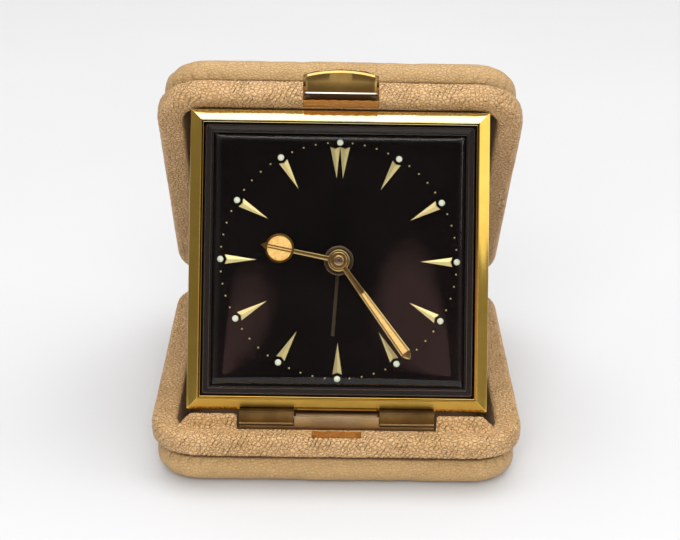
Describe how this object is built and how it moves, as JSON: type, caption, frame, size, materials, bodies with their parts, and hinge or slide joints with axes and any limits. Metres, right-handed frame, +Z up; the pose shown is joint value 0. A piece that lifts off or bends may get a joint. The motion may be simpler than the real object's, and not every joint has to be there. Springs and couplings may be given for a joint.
{
  "type": "travel alarm clock",
  "caption": "Folding travel alarm clock: a square gilt-framed clock hinged inside a leather-covered clamshell that opens to make its stand.",
  "frame": {"origin": "centre of the lower cover's flat underside, on the table", "axes": "+X to the right seen from the front, +Y to the back, where the lid is hinged, +Z up; the dial faces -Y and +Z"},
  "size_m": [0.0896, 0.0982, 0.0923],
  "materials": {
    "leather_pad": "smooth tan calf, fine grain, satin",
    "leather_rim": "tan hide with strong diagonal grain, rolled edge",
    "suede_lining": "brown velour lining",
    "gilt": "polished gilt",
    "raw_brass": "fine brushed brass",
    "nickel": "nickel plate, satin",
    "steel": "blued and polished steel",
    "black_dial": "glossy black lacquer",
    "dark_bronze": "dark bronze lacquer, satin",
    "crystal": "clear domed crystal, polished"
  },
  "bodies": {
    "base": {"lower_cover": "leather_pad", "lower_rim": "leather_rim", "lower_lining": "suede_lining", "case_hinge_lower_leaf": "nickel", "case_hinge_pin": "steel", "clock_hinge_leaf": "nickel", "latch_striker": "raw_brass"},
    "lid": {"upper_cover": "leather_pad", "upper_rim": "leather_rim", "upper_lining": "suede_lining", "case_hinge_upper_leaf": "nickel", "latch_plate": "nickel"},
    "latch": {"latch_button": "gilt", "latch_hook": "steel"},
    "clock": {"bezel": "gilt", "crystal": "crystal", "dial_surround": "dark_bronze", "dial": "black_dial", "clock_housing": "nickel", "clock_hinge_bracket": "gilt", "clock_hinge_pin": "steel", "front_plate": "raw_brass", "rear_plate": "raw_brass", "rear_cover": "nickel", "rear_screw_1": "steel", "rear_screw_2": "steel", "rear_screw_3": "steel", "rear_screw_4": "steel"},
    "minute_arbor": {"centre_arbor": "steel", "minute_hand": "gilt", "hand_set_knob": "nickel"},
    "hour_sleeve": {"hour_wheel": "raw_brass", "hour_hand": "gilt"},
    "motion_wheel": {"minute_wheel": "raw_brass"},
    "alarm_sleeve": {"alarm_wheel": "raw_brass", "alarm_hand": "dark_bronze"},
    "alarm_setter": {"alarm_set_knob": "nickel"},
    "centre_sleeve": {"centre_wheel": "raw_brass"},
    "third_arbor": {"third_wheel": "raw_brass"},
    "fourth_arbor": {"fourth_wheel": "raw_brass"},
    "escape_arbor": {"escape_wheel": "steel"},
    "barrel": {"going_barrel": "raw_brass", "going_mainspring": "steel"},
    "pallet": {"pallet_lever": "steel"},
    "balance": {"balance_wheel": "raw_brass", "hairspring": "steel"},
    "time_key": {"time_winding_key": "nickel"},
    "ringing_barrel": {"alarm_barrel": "raw_brass", "alarm_mainspring": "steel"},
    "ringing_escape": {"alarm_escape_wheel": "steel"},
    "alarm_key": {"alarm_winding_key": "nickel"},
    "hammer": {"alarm_hammer": "steel"},
    "regulator": {"regulator_lever": "steel"},
    "stop": {"alarm_stop_slide": "nickel"}
  },
  "joints": [
    {"name": "clock_fold", "type": "hinge", "parent": "base", "child": "clock", "pos_m": [0, -0.038, 0.0161], "axis": [-1, 0, 0], "range_deg": [0, 65.1]},
    {"name": "lid_open", "type": "hinge", "parent": "base", "child": "lid", "pos_m": [0, 0.0459, 0.014], "axis": [-1, 0, 0], "range_deg": [-53, 67]},
    {"name": "latch_press", "type": "slide", "parent": "lid", "child": "latch", "axis": [0, 0.6018, -0.7986], "range_m": [0, 0.001]},
    {"name": "minute_spin", "type": "hinge", "parent": "clock", "child": "minute_arbor", "pos_m": [0, -0.01958, 0.049], "axis": [0, 0.907, -0.421], "continuous": true},
    {"name": "hour_spin", "type": "hinge", "parent": "clock", "child": "hour_sleeve", "pos_m": [0, -0.01958, 0.049], "axis": [0, 0.907, -0.421], "continuous": true},
    {"name": "motion_wheel_spin", "type": "hinge", "parent": "clock", "child": "motion_wheel", "pos_m": [0.0036, -0.02221, 0.04335], "axis": [0, 0.907, -0.421], "continuous": true},
    {"name": "alarm_set", "type": "hinge", "parent": "clock", "child": "alarm_sleeve", "pos_m": [0, -0.01958, 0.049], "axis": [0, 0.907, -0.421], "continuous": true},
    {"name": "alarm_knob_spin", "type": "hinge", "parent": "clock", "child": "alarm_setter", "pos_m": [0.01217, -0.02096, 0.04605], "axis": [0, 0.907, -0.421], "continuous": true},
    {"name": "centre_spin", "type": "hinge", "parent": "clock", "child": "centre_sleeve", "pos_m": [0, -0.01596, 0.04732], "axis": [0, 0.907, -0.421], "continuous": true},
    {"name": "third_spin", "type": "hinge", "parent": "clock", "child": "third_arbor", "pos_m": [0.0063, -0.01046, 0.0568], "axis": [0, 0.907, -0.421], "continuous": true},
    {"name": "seconds_run", "type": "hinge", "parent": "clock", "child": "fourth_arbor", "pos_m": [0.0012, -0.00674, 0.0648], "axis": [0, 0.907, -0.421], "continuous": true},
    {"name": "escape_spin", "type": "hinge", "parent": "clock", "child": "escape_arbor", "pos_m": [-0.00705, -0.00674, 0.0648], "axis": [0, 0.907, -0.421], "continuous": true},
    {"name": "barrel_spin", "type": "hinge", "parent": "clock", "child": "barrel", "pos_m": [-0.01212, -0.01709, 0.04013], "axis": [0, 0.907, -0.421], "continuous": true},
    {"name": "pallet_rock", "type": "hinge", "parent": "clock", "child": "pallet", "pos_m": [-0.0126, -0.00806, 0.06196], "axis": [0, 0.907, -0.421], "range_deg": [-5, 5]},
    {"name": "balance_swing", "type": "hinge", "parent": "clock", "child": "balance", "pos_m": [-0.0186, -0.01149, 0.05694], "axis": [0, 0.907, -0.421], "range_deg": [-270, 270], "stiffness_Nm_per_rad": 0.0000011},
    {"name": "time_wind", "type": "hinge", "parent": "clock", "child": "time_key", "pos_m": [-0.01212, -0.01437, 0.03887], "axis": [0, -0.907, 0.421], "range_deg": [0, 1800]},
    {"name": "alarm_run", "type": "hinge", "parent": "clock", "child": "ringing_barrel", "pos_m": [0.015, -0.02046, 0.03287], "axis": [0, 0.907, -0.421], "continuous": true},
    {"name": "alarm_escape_spin", "type": "hinge", "parent": "clock", "child": "ringing_escape", "pos_m": [0.0213, -0.0182, 0.0401], "axis": [0, 0.907, -0.421], "continuous": true},
    {"name": "alarm_wind", "type": "hinge", "parent": "clock", "child": "alarm_key", "pos_m": [0.015, -0.01774, 0.03161], "axis": [0, -0.907, 0.421], "range_deg": [0, 1080]},
    {"name": "hammer_swing", "type": "hinge", "parent": "clock", "child": "hammer", "pos_m": [0.0252, -0.01328, 0.05071], "axis": [0, 0.907, -0.421], "range_deg": [-7, 7]},
    {"name": "regulator_turn", "type": "hinge", "parent": "clock", "child": "regulator", "pos_m": [-0.0186, -0.00696, 0.05483], "axis": [0, 0.907, -0.421], "range_deg": [-15, 15]},
    {"name": "alarm_stop", "type": "slide", "parent": "clock", "child": "stop", "axis": [1, 0, 0], "range_m": [-0.002, 0.002]}
  ],
  "couplings": [
    {"joint": "lid_open", "follows": "clock_fold", "ratio": 1},
    {"joint": "hour_spin", "follows": "minute_spin", "ratio": 0.083333},
    {"joint": "motion_wheel_spin", "follows": "minute_spin", "ratio": -0.33333},
    {"joint": "alarm_knob_spin", "follows": "alarm_set", "ratio": -5},
    {"joint": "third_spin", "follows": "seconds_run", "ratio": -0.13333},
    {"joint": "centre_spin", "follows": "seconds_run", "ratio": 0.016667},
    {"joint": "escape_spin", "follows": "seconds_run", "ratio": -10},
    {"joint": "barrel_spin", "follows": "seconds_run", "ratio": -0.0027778},
    {"joint": "alarm_escape_spin", "follows": "alarm_run", "ratio": -6}
  ]
}
